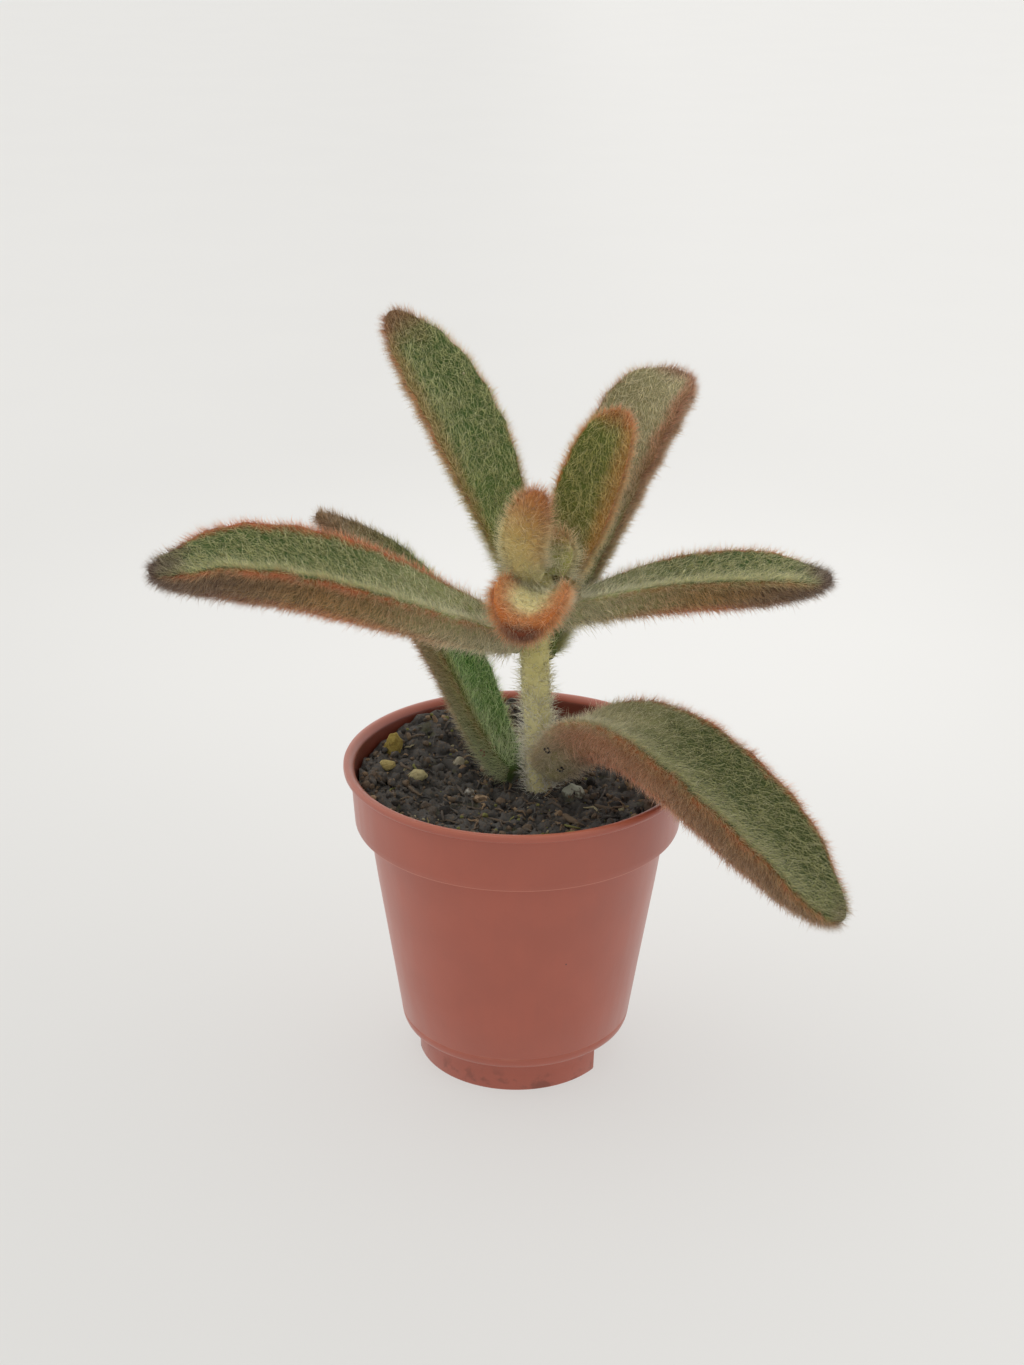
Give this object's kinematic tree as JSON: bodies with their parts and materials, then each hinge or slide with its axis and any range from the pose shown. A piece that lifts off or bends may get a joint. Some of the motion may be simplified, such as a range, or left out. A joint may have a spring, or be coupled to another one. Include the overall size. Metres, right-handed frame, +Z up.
{
  "type": "potted succulent plant",
  "caption": "Panda plant, Kalanchoe tomentosa: one upright stem with thick, boat-shaped, felted leaves, rooted in a small round plastic nursery pot of soil.",
  "frame": {"origin": "under the centre of the bounding box, on the plane that the pot stands on", "axes": "+Z up along the stem, -Y towards the front, the longest leaves reaching out along -X and +X"},
  "size_m": [0.1026, 0.0616, 0.1161],
  "materials": {
    "pot_plastic": "satin moulded polypropylene, terracotta colour",
    "soil": "moist dark peat with fibres",
    "stem": "pale green flesh under long white hairs",
    "leaf": "grey-green flesh under short felt, rusty along the margins",
    "young_leaf": "olive flesh under dense fawn felt, rusty along the margins",
    "perlite": "rough porous white grain",
    "bark": "rough weathered chip"
  },
  "bodies": {
    "root": {"pot": "pot_plastic", "soil": "soil", "stem": "stem", "leaf_left": "leaf", "leaf_right": "leaf", "leaf_back_left": "leaf", "leaf_back_right": "leaf", "leaf_low_back": "leaf", "leaf_low_front": "leaf", "leaf_right_inner": "young_leaf", "leaf_front": "young_leaf", "leaf_bud_front": "young_leaf", "leaf_bud_back": "young_leaf", "perlite_1": "perlite", "perlite_2": "perlite", "perlite_3": "perlite", "perlite_4": "perlite", "perlite_5": "perlite", "bark_chip_1": "bark", "bark_chip_2": "bark"}
  },
  "joints": []
}
